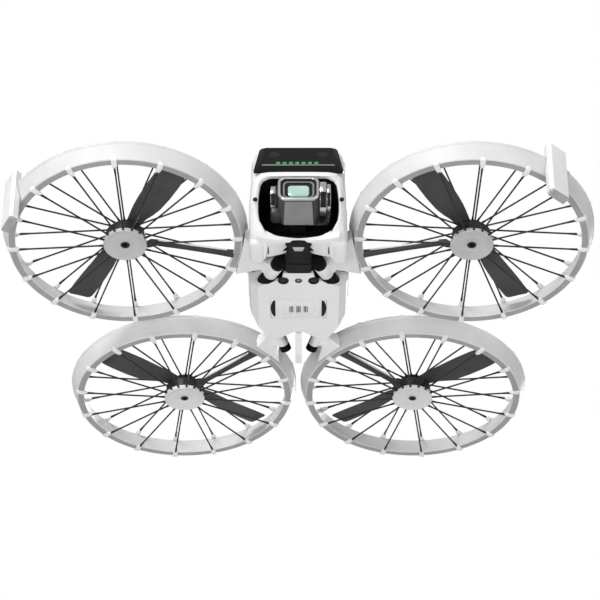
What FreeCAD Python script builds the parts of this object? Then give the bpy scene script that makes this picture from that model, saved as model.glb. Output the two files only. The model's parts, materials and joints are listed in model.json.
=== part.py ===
import FreeCAD, Part
import math
import os

import Sketcher
from FreeCAD import Matrix, Placement, Rotation, Vector

# Folding camera drone with four spoked full-cover propeller guards.
# Axes: X to the right-hand side of someone who faces the nose, Y towards the tail, Z up.
# Parts named right are at +X, parts named left at -X.
# All fuselage stations are measured from a datum on the centre line at the height of the
# guard hinges; the datum stands datum_z above the ground. Guard stations are measured from
# the centre of each guard's lower rim, in the guard's own slightly canted plane.

DIMS = {
    # where the datum stands in the part's own frame
    "datum_y": -15.45, "datum_z": 20.7,
    # guard centres from the datum, and how far each guard leans outwards
    "front_x": 81.9, "front_y": -42.75, "front_z": -3.8,
    "rear_x": 58.8, "rear_y": 74.0, "rear_z": -6.2,
    "lean_pitch": 2.4, "lean_roll": 1.9,
    # guard centres when folded into upright discs under the body
    "front_fold_x": 21.0, "front_fold_y": 0.0, "front_fold_z": -73.5,
    "rear_fold_x": 5.5, "rear_fold_y": 31.0, "rear_fold_z": -70.5,
    # guard ring section
    "ring_low_out": 55.2, "ring_low_in": 51.4, "ring_top_out": 58.1, "ring_top_in": 54.2,
    "ring_tall": 9.4, "ring_lip": 0.8,
    # clips that hold the strings
    "clip_count": 16, "clip_wide": 3.2, "clip_in": 50.3, "clip_low_out": 56.4,
    "clip_top_out": 58.6, "clip_low_z": -1.1, "clip_thick": 2.0, "clip_top_z": 8.6,
    # strings
    "string_dia": 0.8, "string_low_z": -0.4, "string_top_z": 9.8,
    "phase_front": 1.8, "phase_rear": 14.6,
    # hub
    "hub_radius": 10.3, "hub_low": -1.2, "hub_dish": 0.5, "hub_dish_radius": 8.7,
    "hub_floor": 0.8, "post_radius": 1.8, "post_hole": 0.9, "top_plate_radius": 6.2,
    "top_plate_low": 9.3, "top_plate_high": 10.4,
    # motor
    "stator_radius": 7.6, "stator_high": 5.0, "bell_radius": 9.4, "bell_wall": 1.0,
    "bell_low": 1.3, "bell_high": 6.6, "spin_clearance": 0.1,
    # propeller
    "prop_hub_radius": 5.6, "prop_hub_high": 8.6, "blade_root": 5.0, "blade_tip": 49.0,
    "blade_thick": 0.9, "blade_mid_z": 6.3, "blade_root_z": 7.75,
    # motor arm inside the ring
    "arm_low": 0.1, "arm_high": 3.0, "arm_hub_wide": 3.2, "arm_ring_wide": 5.0,
    "arm_front_angle": 172.0, "arm_rear_angle": 224.0,
    # guard hinge
    "pin_radius": 1.2, "pin_clearance": 0.06, "front_knuckle_radius": 3.4,
    "rear_knuckle_radius": 2.8, "front_knuckle_y": -33.0, "rear_knuckle_y": 28.5,
    "front_knuckle_half": 5.0, "rear_knuckle_half": 4.0, "ear_gap": 0.35,
    "strap_low": 0.4, "strap_high": 7.6, "strap_front_lean": -3.0, "strap_rear_lean": -5.0,
    "strap_front_spread": 13.0, "strap_rear_spread": 9.0,
    "front_ear_ahead": 3.2, "front_ear_behind": 9.0, "rear_ear_ahead": 8.0,
    "rear_ear_behind": 3.2, "pin_grip": 3.0, "fin_half": 1.5, "skid_low": -20.7,
    # landing legs
    "leg_right_angle": -52.0, "leg_left_angle": -29.0, "leg_in": 55.9, "leg_out": 60.4,
    "leg_wide": 12.0, "leg_low": -13.7, "leg_high": 17.2, "pad_thick": 1.2,
    # fuselage
    "nose_half": 23.0, "body_half": 24.5, "body_top": 50.0, "deck_z": 7.0,
    "joint_y": -44.0, "shell_wall": 2.0,
    "well_deep": 0.8, "eye_across": 7.2, "eye_well": 2.65, "range_well": 1.75,
    "sensor_y": -25.5, "screw_radius": 1.5, "screw_deep": 0.4,
    "battery_half": 16.0, "battery_front": -10.0, "battery_floor": 22.0, "battery_gap": 0.3,
    "belly_low": -12.0, "belly_seam": -2.0,
    # gimbal and camera
    "pitch_y": -64.5, "pitch_z": 5.0, "camera_half": 9.6, "camera_front": 7.9,
    "camera_back": 8.0, "camera_tall": 14.0, "yaw_y": -50.0,
}

doc = FreeCAD.newDocument("folding_camera_drone")
sheet = doc.addObject("Spreadsheet::Sheet", "Dims")
for row, (alias, size) in enumerate(DIMS.items(), start=1):
    sheet.set("A%d" % row, alias)
    sheet.set("B%d" % row, str(size))
    sheet.setAlias("B%d" % row, alias)
doc.recompute()

SUBPARTS = []


def dim(alias):
    """A driving dimension, read back from the sheet."""
    return float(sheet.get(alias))


def cell(text):
    """An expression over the sheet's cells: each alias written as <alias>."""
    return str(text).replace("<", "Dims.").replace(">", "")


def value(text):
    """The number that an expression over the sheet's cells stands for."""
    sheet_values = str(text)
    for alias in sorted(DIMS, key=len, reverse=True):
        sheet_values = sheet_values.replace("<%s>" % alias, repr(dim(alias)))
    holder = doc.getObject("Probe") or doc.addObject("App::FeaturePython", "Probe")
    return float(holder.evalExpression(sheet_values))


def origin_plane(body, role):
    return next(item for item in body.Origin.OriginFeatures if item.Role == role)


def sketch_on(body, role, height=None, turn=None):
    """An empty sketch on one of the body's own origin planes, raised and turned if asked."""
    made = body.newObject("Sketcher::SketchObject", body.Name + "_sketch")
    made.AttachmentSupport = [(origin_plane(body, role), "")]
    made.MapMode = "FlatFace"
    if height is not None:
        made.setExpression("AttachmentOffset.Base.z", cell(height))
    if turn is not None:
        made.setExpression("AttachmentOffset.Rotation.Angle", cell(turn))
    return made


def hold(sketch, kind, ends, size):
    """One constraint bound to the sheet."""
    index = sketch.addConstraint(Sketcher.Constraint(kind, *ends, value(size)))
    sketch.setExpression("Constraints[%d]" % index, cell(size))


def draw_polygon(sketch, corners):
    """A closed outline whose corners are each bound to the sheet."""
    spots = [Vector(value(across), value(up), 0) for across, up in corners]
    first = sketch.GeometryCount
    count = len(corners)
    for step in range(count):
        sketch.addGeometry(Part.LineSegment(spots[step], spots[(step + 1) % count]))
    for step in range(count):
        following = first + (step + 1) % count
        sketch.addConstraint(Sketcher.Constraint("Coincident", first + step, 2, following, 1))
    for step, (across, up) in enumerate(corners):
        hold(sketch, "DistanceX", (-1, 1, first + step, 1), across)
        hold(sketch, "DistanceY", (-1, 1, first + step, 1), up)


def draw_circle(sketch, across, up, radius):
    spot = Vector(value(across), value(up), 0)
    ring = sketch.addGeometry(Part.Circle(spot, Vector(0, 0, 1), value(radius)))
    hold(sketch, "DistanceX", (-1, 1, ring, 3), across)
    hold(sketch, "DistanceY", (-1, 1, ring, 3), up)
    hold(sketch, "Radius", (ring,), radius)


def mirrored(corners):
    """The right half of an outline, low corner first, completed across the centre line."""
    return corners + [("-(%s)" % across, up) for across, up in reversed(corners)]


def rectangle(left, right, low, high):
    return [(left, low), (right, low), (right, high), (left, high)]


def new_body(label):
    body = doc.addObject("PartDesign::Body", label)
    body.Label = label
    SUBPARTS.append(body)
    return body


def pad(body, sketch, length, midplane=False, reverse=False):
    made = body.newObject("PartDesign::Pad", body.Name + "_pad")
    made.Profile = sketch
    made.Midplane = midplane
    made.Reversed = reverse
    made.setExpression("Length", cell(length))
    return made


def cut(body, sketch, length=None, reverse=False):
    """A pocket of the given depth, or one that goes right through both ways."""
    made = body.newObject("PartDesign::Pocket", body.Name + "_pocket")
    made.Profile = sketch
    made.Reversed = reverse
    if length is None:
        made.Midplane = True
        made.Length = 400
    else:
        made.setExpression("Length", cell(length))
    return made


def turn_about(body, sketch, axis="V_Axis"):
    made = body.newObject("PartDesign::Revolution", body.Name + "_revolution")
    made.Profile = sketch
    made.ReferenceAxis = (sketch, [axis])
    made.Angle = 360
    return made


def around(body, features, count):
    """Repeat features evenly about the body's own Z axis."""
    made = body.newObject("PartDesign::PolarPattern", body.Name + "_pattern")
    made.Originals = features
    made.Axis = (origin_plane(body, "Z_Axis"), [""])
    made.Angle = 360
    if "<" in str(count):
        made.setExpression("Occurrences", cell(count))
    else:
        made.Occurrences = count
    body.Tip = made
    return made


def rod(body, radius, length, where, remove=False):
    """A cylinder laid anywhere in the body, added or cut away."""
    kind = "PartDesign::SubtractiveCylinder" if remove else "PartDesign::AdditiveCylinder"
    made = body.newObject(kind, body.Name + "_rod")
    made.setExpression("Radius", cell(radius))
    made.setExpression("Height", cell(length))
    made.Placement = where
    return made


def at_datum(body, x="0", y="0", z="0", rotation=None):
    """Stand a fuselage body at the datum plus a station."""
    if rotation is not None:
        body.Placement = Placement(Vector(0, 0, 0), rotation)
    body.setExpression("Placement.Base.x", cell(x))
    body.setExpression("Placement.Base.y", cell("<datum_y> + %s" % y))
    body.setExpression("Placement.Base.z", cell("<datum_z> + %s" % z))


def at_guard(body, guard):
    """Stand a guard body on its guard's canted plane."""
    body.Placement = Placement(Vector(0, 0, 0), guard.rotation)
    body.setExpression("Placement.Base.x", cell("%d * <%s_x>" % (guard.side, guard.end)))
    body.setExpression("Placement.Base.y", cell("<datum_y> + <%s_y>" % guard.end))
    body.setExpression("Placement.Base.z", cell("<datum_z> + <%s_z>" % guard.end))


class Guard:
    """Where one guard lies when open, and the skew axis on which it folds."""

    def __init__(self, end, side):
        self.end = end
        self.side = side
        self.name = "%s_%s" % (end, "right" if side > 0 else "left")
        pitch = math.radians(dim("lean_pitch")) * (1 if end == "front" else -1)
        roll = math.radians(dim("lean_roll")) * side
        lean = Vector(math.sin(roll), math.sin(pitch), 0)
        lean.z = math.sqrt(1 - lean.Length ** 2)
        self.rotation = Rotation(Vector(0, 0, 1), lean)
        datum = Vector(0, dim("datum_y"), dim("datum_z"))
        opened = Vector(side * dim(end + "_x"), dim(end + "_y"), dim(end + "_z")) + datum
        folded = Vector(side * dim(end + "_fold_x"), dim(end + "_fold_y"),
                        dim(end + "_fold_z")) + datum
        self.placement = Placement(opened, self.rotation)
        outward = Vector(side, 0, 0)
        axis = (outward - lean).cross(folded - opened)
        axis.normalize()
        if axis.y < 0:
            axis = axis * -1
        start = lean - axis * lean.dot(axis)
        finish = outward - axis * outward.dot(axis)
        self.angle = math.atan2(start.cross(finish).dot(axis), start.dot(finish))
        middle = (opened + folded) * 0.5
        through = middle + axis.cross(folded - opened) * (0.5 / math.tan(self.angle / 2))
        station = dim("datum_y") + dim(end + "_knuckle_y")
        self.axis = axis
        self.knuckle = through + axis * ((station - through.y) / axis.y)
        self.folded = folded

    def along_axis(self, distance):
        """The placement of a cylinder that starts on the fold axis and runs along it."""
        base = self.knuckle + self.axis * distance
        return Placement(base, Rotation(Vector(0, 0, 1), self.axis))

    def local(self, point):
        return self.placement.inverse().multVec(point)

    def size(self, name):
        return "<%s_%s>" % (self.end, name)

    def arm_angle(self):
        """Plan angle from the motor towards the hinge, mirrored for the left-hand side."""
        angle = dim("arm_%s_angle" % self.end)
        return angle if self.side > 0 else 180 - angle


GUARDS = [Guard(end, side) for end in ("front", "rear") for side in (1, -1)]


def guard_ring(guard):
    """A hoop that flares outwards to its top lip, with a string clip at each string."""
    body = new_body("guard_ring_" + guard.name)
    section = sketch_on(body, "XZ_Plane")
    draw_polygon(section, [
        ("<ring_low_in>", "0"), ("<ring_low_out>", "0"),
        ("<ring_top_out>", "<ring_tall> - <ring_lip>"),
        ("<ring_top_out> - <ring_lip> / 2", "<ring_tall>"),
        ("<ring_top_in>", "<ring_tall>"),
        ("<ring_top_in> - <ring_lip>", "<ring_tall> - <ring_lip>")])
    turn_about(body, section)
    clips = []
    for inner, outer, low in (("<clip_in>", "<clip_low_out>", "<clip_low_z>"),
                              ("<clip_in>", "<clip_top_out>", "<clip_top_z>")):
        outline = sketch_on(body, "XY_Plane", low, "%d * <phase_%s>" % (guard.side, guard.end))
        draw_polygon(outline, rectangle(inner, outer, "-<clip_wide> / 2", "<clip_wide> / 2"))
        clips.append(pad(body, outline, "<clip_thick>"))
    around(body, clips, "<clip_count>")
    at_guard(body, guard)


def guard_strings(guard):
    """Taut strings in two layers, from the hub to the clips."""
    bundle = doc.addObject("Part::Compound", "guard_strings_" + guard.name)
    bundle.Label = "guard_strings_" + guard.name
    strings = []
    for start, height in (("<hub_radius>", "<string_low_z>"),
                          ("<top_plate_radius>", "<string_top_z>")):
        for step in range(int(dim("clip_count"))):
            string = doc.addObject("Part::Cylinder", "string")
            string.setExpression("Radius", cell("<string_dia> / 2"))
            string.setExpression("Height", cell("<clip_in> - %s" % start))
            turn = guard.side * dim("phase_" + guard.end) + step * 360 / dim("clip_count")
            about = Placement(Vector(0, 0, 0), Rotation(Vector(0, 0, 1), turn))
            lying = Placement(Vector(value(start), 0, value(height)),
                              Rotation(Vector(0, 1, 0), 90))
            string.Placement = about.multiply(lying)
            strings.append(string)
    bundle.Links = strings
    SUBPARTS.append(bundle)
    at_guard(bundle, guard)


def hub_frame(guard):
    """The fixed core: dished lower cap, hollow post through the motor, and top plate."""
    body = new_body("hub_frame_" + guard.name)
    section = sketch_on(body, "XZ_Plane")
    dish = "<hub_low> + <hub_dish>"
    draw_polygon(section, [
        ("<post_hole>", dish), ("<hub_dish_radius>", dish),
        ("<hub_dish_radius> + <hub_dish>", "<hub_low>"), ("<hub_radius>", "<hub_low>"),
        ("<hub_radius>", "<hub_floor>"), ("<post_radius>", "<hub_floor>"),
        ("<post_radius>", "<top_plate_low>"), ("<top_plate_radius>", "<top_plate_low>"),
        ("<top_plate_radius>", "<top_plate_high>"), ("<post_hole>", "<top_plate_high>")])
    turn_about(body, section)
    at_guard(body, guard)


def motor_stator(guard):
    """The wound core, pressed on the post, with twelve slots between its teeth."""
    body = new_body("motor_stator_" + guard.name)
    disc = sketch_on(body, "XY_Plane", "<hub_floor>")
    draw_circle(disc, "0", "0", "<stator_radius>")
    draw_circle(disc, "0", "0", "<post_radius>")
    pad(body, disc, "<stator_high> - <hub_floor>")
    slot = sketch_on(body, "XY_Plane", "<hub_floor>")
    draw_polygon(slot, rectangle("<stator_radius> * 0.55", "<stator_radius> + 1", "-0.5", "0.5"))
    around(body, [cut(body, slot, "<stator_high>", reverse=True)], 12)
    at_guard(body, guard)


def motor_bell(guard):
    """The turning cup around the stator."""
    body = new_body("motor_bell_" + guard.name)
    bore = "<post_radius> + <spin_clearance>"
    inside = "<bell_radius> - <bell_wall>"
    roof = "<bell_high> - <bell_wall>"
    section = sketch_on(body, "XZ_Plane")
    draw_polygon(section, [
        (bore, roof), (inside, roof), (inside, "<bell_low>"), ("<bell_radius>", "<bell_low>"),
        ("<bell_radius>", "<bell_high> - 0.5"), ("<bell_radius> - 0.5", "<bell_high>"),
        (bore, "<bell_high>")])
    turn_about(body, section)
    at_guard(body, guard)


def blade_section(body, radius, chord, pitch, height, hand):
    """A thin slab across the blade, tipped by its pitch."""
    made = sketch_on(body, "YZ_Plane", radius)
    along = [hand * sign * chord / 2 for sign in (-1, 1, 1, -1)]
    above = ["-<blade_thick> / 2", "-<blade_thick> / 2", "<blade_thick> / 2",
             "<blade_thick> / 2"]
    corners = []
    for reach, lift in zip(along, above):
        sine = "sin(%g)" % (hand * pitch)
        cosine = "cos(%g)" % (hand * pitch)
        corners.append(("%g * %s - (%s) * %s" % (reach, cosine, lift, sine),
                        "%s + %g * %s + (%s) * %s" % (height, reach, sine, lift, cosine)))
    draw_polygon(made, corners)
    return made


def propeller(guard):
    """Two broad blades on a hub that sits on the motor bell."""
    body = new_body("propeller_" + guard.name)
    rest_angle = {"front": 246.4, "rear": -39.0}[guard.end]
    hand = guard.side if guard.end == "front" else -guard.side
    hub = sketch_on(body, "XY_Plane", "<bell_high>")
    draw_circle(hub, "0", "0", "<prop_hub_radius>")
    draw_circle(hub, "0", "0", "<post_radius> + <spin_clearance>")
    pad(body, hub, "<prop_hub_high> - <bell_high>")
    stations = [("<blade_root>", 6.0, 8.0, "<blade_root_z>"),
                ("14", 11.0, 10.0, "<blade_root_z>"), ("24", 15.5, 15.0, "<blade_mid_z>"),
                ("40", 14.5, 12.0, "<blade_mid_z>"), ("<blade_tip>", 12.0, 10.0, "<blade_mid_z>")]
    sections = [blade_section(body, radius, chord, pitch, height, hand)
                for radius, chord, pitch, height in stations]
    blade = body.newObject("PartDesign::AdditiveLoft", body.Name + "_loft")
    blade.Profile = sections[0]
    blade.Sections = sections[1:]
    blade.Ruled = True
    around(body, [blade], 2)
    turn = rest_angle if guard.side > 0 else 180 - rest_angle
    at_guard(body, guard)
    spun = guard.rotation.multiply(Rotation(Vector(0, 0, 1), turn))
    body.Placement = Placement(body.Placement.Base, spun)


def motor_arm(guard):
    """The wiring arm from the motor to the ring's inner wall, towards the hinge."""
    body = new_body("motor_arm_" + guard.name)
    outline = sketch_on(body, "XY_Plane", "<arm_low>", "%g" % guard.arm_angle())
    draw_polygon(outline, [
        ("<hub_radius>", "-<arm_hub_wide> / 2"), ("<ring_low_in>", "-<arm_ring_wide> / 2"),
        ("<ring_low_in>", "<arm_ring_wide> / 2"), ("<hub_radius>", "<arm_hub_wide> / 2")])
    pad(body, outline, "<arm_high> - <arm_low>")
    at_guard(body, guard)


def plane_sketch(body, spot, across, up):
    """A sketch on the body's XY plane moved so that it spans two chosen directions."""
    normal = across.cross(up)
    frame = Matrix(across.x, up.x, normal.x, spot.x, across.y, up.y, normal.y, spot.y,
                   across.z, up.z, normal.z, spot.z, 0, 0, 0, 1)
    made = body.newObject("Sketcher::SketchObject", body.Name + "_sketch")
    made.AttachmentSupport = [(origin_plane(body, "XY_Plane"), "")]
    made.MapMode = "FlatFace"
    made.AttachmentOffset = Placement(frame)
    return made


def ring_seat(body, low, tall):
    """Cut away the space that the ring's flared outer wall takes up."""
    slope = (dim("ring_top_out") - dim("ring_low_out")) / (dim("ring_tall") - dim("ring_lip"))
    hollow = body.newObject("PartDesign::SubtractiveCone", body.Name + "_seat")
    hollow.Placement = Placement(Vector(0, 0, low), Rotation())
    hollow.Radius1 = dim("ring_low_out") + slope * low
    hollow.Radius2 = dim("ring_low_out") + slope * (low + tall)
    hollow.Height = tall


def hinge_arm(guard):
    """A strap from the ring's outer wall to a knuckle on the skew fold axis."""
    body = new_body("hinge_arm_" + guard.name)
    half = guard.size("knuckle_half")
    radius = guard.size("knuckle_radius")
    inverse = guard.placement.inverse()
    rod(body, radius, "2 * " + half, inverse.multiply(guard.along_axis(-value(half))))

    lean = math.radians(dim("strap_%s_lean" % guard.end))
    spread = math.radians(dim("strap_%s_spread" % guard.end))
    middle = math.radians(guard.arm_angle()) + lean * guard.side
    reach = (dim("ring_low_out") + 1.5) * math.cos(spread)
    radial = Vector(math.cos(middle), math.sin(middle), 0)
    seat = radial * reach + Vector(0, 0, (dim("strap_low") + dim("strap_high")) / 2)
    centre = guard.local(guard.knuckle)
    axis = inverse.Rotation.multVec(guard.axis)
    outward = seat - centre
    outward = outward - axis * outward.dot(axis)
    outward.normalize()
    upward = outward.cross(axis)
    tangent = Vector(0, 0, 1).cross(radial)
    if tangent.dot(axis) < 0:
        tangent = tangent * -1
    rise = Vector(0, 0, 1) if upward.z > 0 else Vector(0, 0, -1)
    thin = "(%s - 0.5)" % radius
    narrow = "(%s - 0.6)" % half
    wide = "(<ring_low_out> + 1.5) * sin(<strap_%s_spread>)" % guard.end
    thick = "(<strap_high> - <strap_low>) / 2"
    sections = []
    for spot, across, up, breadth, depth in (
            (centre, axis, upward, narrow, thin),
            (centre + outward * (value(radius) + 1), axis, upward, narrow, thin),
            (seat, tangent, rise, wide, thick)):
        outline = plane_sketch(body, spot, across, up)
        draw_polygon(outline, rectangle("-" + breadth, breadth, "-" + depth, depth))
        sections.append(outline)
    strap = body.newObject("PartDesign::AdditiveLoft", body.Name + "_strap")
    strap.Profile = sections[0]
    strap.Sections = sections[1:]
    strap.Ruled = True
    ring_seat(body, -4, 20)
    rod(body, "<pin_radius> + <pin_clearance>", "2 * %s + 2" % half,
        inverse.multiply(guard.along_axis(-value(half) - 1)), remove=True)
    at_guard(body, guard)


def landing_leg(guard):
    """A flat-faced leg that stands outside the ring and reaches below and above it."""
    side = "right" if guard.side > 0 else "left"
    angle = "<leg_%s_angle>" % side if guard.side > 0 else "180 - <leg_%s_angle>" % side
    body = new_body("landing_leg_" + side)
    outline = sketch_on(body, "XY_Plane", "<leg_low> + <pad_thick>", angle)
    half = "<leg_wide> / 2"
    draw_polygon(outline, [
        ("<leg_in>", "-(%s) + 1" % half), ("<leg_out> - 1.5", "-(%s)" % half),
        ("<leg_out>", "-(%s) + 1.5" % half), ("<leg_out>", "%s - 1.5" % half),
        ("<leg_out> - 1.5", half), ("<leg_in>", "%s - 1" % half)])
    pad(body, outline, "<leg_high> - <leg_low> - <pad_thick>")
    ring_seat(body, 0, dim("ring_tall"))
    at_guard(body, guard)

    pad_body = new_body("foot_pad_" + side)
    sole = sketch_on(pad_body, "XY_Plane", "<leg_low>", angle)
    draw_polygon(sole, [
        ("<leg_in> + 0.3", "-(%s) + 1.3" % half), ("<leg_out> - 0.3", "-(%s) + 1.3" % half),
        ("<leg_out> - 0.3", "%s - 1.3" % half), ("<leg_in> + 0.3", "%s - 1.3" % half)])
    pad(pad_body, sole, "<pad_thick>")
    at_guard(pad_body, guard)


def chassis():
    """The frame that carries the boards, the gimbal and the ears of all four fold hinges."""
    body = new_body("chassis")
    deck = sketch_on(body, "XY_Plane", "<belly_seam>")
    draw_polygon(deck, mirrored([
        ("8", "<joint_y> + 0.2"), ("8", "-25.5"), ("12", "-22.5"), ("<body_half> - 2.5", "-15.5"),
        ("<body_half> - 1.7", "-12"), ("<body_half> - 1.7", "2"), ("14", "19.5")]))
    pad(body, deck, "<deck_z> - <belly_seam>")
    spine = sketch_on(body, "XY_Plane", "<belly_low> + 1.8")
    draw_polygon(spine, mirrored([("8", "<joint_y> + 0.2"), ("8", "-26.5")]))
    pad(body, spine, "<belly_seam> - <belly_low>")
    fin = sketch_on(body, "YZ_Plane")
    draw_polygon(fin, [("19", "<belly_low> + 1"), ("36", "<belly_low> + 2"), ("41", "-6"),
                       ("41", "<deck_z>"), ("19", "<deck_z>")])
    pad(body, fin, "2 * <fin_half>", midplane=True)
    datum = Vector(0, dim("datum_y"), dim("datum_z"))
    to_body = Placement(datum, Rotation()).inverse()
    for guard in GUARDS:
        gap = value(guard.size("knuckle_half")) + dim("ear_gap")
        ahead = value(guard.size("ear_ahead"))
        behind = value(guard.size("ear_behind"))
        radius = guard.size("knuckle_radius")
        rod(body, radius, guard.size("ear_ahead"),
            to_body.multiply(guard.along_axis(-gap - ahead)))
        rod(body, radius, guard.size("ear_behind"), to_body.multiply(guard.along_axis(gap)))
        rod(body, "%s + 0.5" % radius, "2 * (%s + <ear_gap>)" % guard.size("knuckle_half"),
            to_body.multiply(guard.along_axis(-gap)), remove=True)
        rod(body, "<pin_radius>", "2 * (%s + <ear_gap> + <pin_grip>)" % guard.size("knuckle_half"),
            to_body.multiply(guard.along_axis(-gap - dim("pin_grip"))), remove=True)
    level = sketch_on(body, "XY_Plane", "<belly_low>")
    draw_polygon(level, mirrored([("<body_half>", "-31"), ("<body_half>", "20")]))
    cut(body, level, "5")
    at_datum(body)


def hinge_pins():
    """The four steel fold pins, held in the chassis ears."""
    body = new_body("hinge_pins")
    to_body = Placement(Vector(0, dim("datum_y"), dim("datum_z")), Rotation()).inverse()
    for guard in GUARDS:
        gap = value(guard.size("knuckle_half")) + dim("ear_gap")
        rod(body, "<pin_radius>", "2 * (%s + <ear_gap> + <pin_grip>)" % guard.size("knuckle_half"),
            to_body.multiply(guard.along_axis(-gap - dim("pin_grip"))))
    at_datum(body)


def tail_skid():
    """The thin heel under the fin: the third point that the drone stands on."""
    body = new_body("tail_skid")
    side = sketch_on(body, "YZ_Plane")
    draw_polygon(side, [("14", "<belly_low>"), ("20", "<skid_low>"), ("27", "<skid_low>"),
                        ("36", "<belly_low> + 2"), ("19", "<belly_low> + 1"),
                        ("14", "<belly_low> + 1")])
    pad(body, side, "2 * <fin_half>", midplane=True)
    at_datum(body)


def cut_shoulders(body):
    """Take the top corners off the fuselage section, in flats that follow a round."""
    corners = sketch_on(body, "XZ_Plane")
    for hand in ("", "-"):
        draw_polygon(corners, [
            (hand + "(<body_half> - 8)", "<body_top> + 0.01"),
            (hand + "(<body_half> - 4.6)", "<body_top> - 1"),
            (hand + "(<body_half> - 2)", "<body_top> - 3.4"),
            (hand + "(<body_half> - 0.4)", "<body_top> - 7"),
            (hand + "<body_half>", "<body_top> - 11"), (hand + "31", "<body_top> - 11"),
            (hand + "31", "<body_top> + 2"), (hand + "(<body_half> - 8)", "<body_top> + 2")])
    cut(body, corners)


def upper_shell():
    """The long back shell, open underneath and cut away at the rear for the battery."""
    body = new_body("upper_shell")
    side = sketch_on(body, "YZ_Plane")
    draw_polygon(side, [
        ("<joint_y>", "<deck_z>"), ("22", "<deck_z>"), ("47", "16"), ("60", "30"),
        ("61", "36"), ("52", "<body_top> - 5"), ("26", "<body_top>"), ("-16", "<body_top>"),
        ("<joint_y>", "<body_top> - 2")])
    pad(body, side, "2 * <body_half>", midplane=True)
    taper = sketch_on(body, "XY_Plane")
    for hand in ("", "-"):
        draw_polygon(taper, [(hand + "30", "<joint_y> - 1"), (hand + "30", "70"),
                             (hand + "14", "70"), (hand + "14", "61"),
                             (hand + "<body_half>", "8"), (hand + "<body_half>", "-20"),
                             (hand + "<nose_half>", "<joint_y> + 6"),
                             (hand + "<nose_half>", "<joint_y> - 1")])
    body.Tip = cut(body, taper)
    cut_shoulders(body)
    hollow = sketch_on(body, "XY_Plane", "<deck_z>")
    draw_polygon(hollow, mirrored([
        ("<nose_half> - <shell_wall>", "<joint_y> + <shell_wall>"),
        ("<body_half> - <shell_wall>", "-12"), ("<body_half> - <shell_wall>", "6"),
        ("19", "20")]))
    cut(body, hollow, "<battery_floor> - <deck_z> - 3", reverse=True)
    cabin = sketch_on(body, "XY_Plane", "<deck_z>")
    draw_polygon(cabin, mirrored([
        ("17", "<joint_y> + <shell_wall>"), ("17", "<battery_front> - 2.3")]))
    cut(body, cabin, "<body_top> - 3 - <deck_z>", reverse=True)
    button = sketch_on(body, "XY_Plane", "<body_top> - 4")
    draw_circle(button, "0", "-26", "4.3")
    cut(body, button, "6", reverse=True)
    bay = sketch_on(body, "XY_Plane", "<battery_floor>")
    draw_polygon(bay, mirrored([
        ("<battery_half> + <battery_gap>", "<battery_front> - <battery_gap>"),
        ("<battery_half> + <battery_gap>", "70")]))
    cut(body, bay, "40", reverse=True)
    at_datum(body)


def nose_shell():
    """The nose: forehead above, chin below, and the open recess where the camera hangs."""
    body = new_body("nose_shell")
    side = sketch_on(body, "YZ_Plane")
    draw_polygon(side, [
        ("<joint_y>", "-11"), ("-54", "-14.5"), ("-59", "-14"), ("-62", "-11"),
        ("-67.5", "9"), ("-69", "17"), ("-62.5", "40"), ("-56", "44.5"),
        ("<joint_y>", "<body_top> - 2")])
    pad(body, side, "2 * <nose_half>", midplane=True)
    corners = sketch_on(body, "XY_Plane")
    for hand in ("", "-"):
        draw_polygon(corners, [(hand + "<nose_half>", "-60"), (hand + "17.5", "-75"),
                               (hand + "30", "-75"), (hand + "30", "-60")])
    body.Tip = cut(body, corners)
    cut_shoulders(body)
    recess = sketch_on(body, "XZ_Plane", "-(<joint_y> - 2)")
    draw_polygon(recess, mirrored([
        ("18.8", "-11.5"), ("17.6", "14"), ("15", "16.5")]))
    cut(body, recess, "40", reverse=True)
    attic = sketch_on(body, "XZ_Plane", "-<joint_y>")
    draw_polygon(attic, mirrored([("19", "19"), ("19", "36"), ("15", "42")]))
    cut(body, attic, "13", reverse=True)
    at_datum(body)


def sensor_window():
    """The dark sloping window across the forehead, over the forward range sensors."""
    body = new_body("sensor_window")
    outline = sketch_on(body, "XZ_Plane")
    draw_polygon(outline, mirrored([
        ("19.5", "0.6"), ("20.9", "2.4"), ("18.4", "20.6"), ("16.2", "22.6")]))
    pad(body, outline, "1.2")
    lean = math.degrees(math.atan2(6.5, 23))
    at_datum(body, "0", "-68.95", "17.2", Rotation(Vector(1, 0, 0), -lean))


def indicator_marks():
    """A row of small plain status marks low on the sensor window."""
    body = new_body("indicator_marks")
    marks = sketch_on(body, "XZ_Plane", "1.2")
    for step in range(7):
        left = -10.5 + 3 * step
        draw_polygon(marks, rectangle(str(left), str(left + 1.8), "6.6", "8.4"))
    pad(body, marks, "0.15")
    lean = math.degrees(math.atan2(6.5, 23))
    at_datum(body, "0", "-68.95", "17.2", Rotation(Vector(1, 0, 0), -lean))


SCREWS = (("-17", "-15"), ("17", "-15"), ("-13.5", "11"), ("13.5", "11"))


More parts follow.
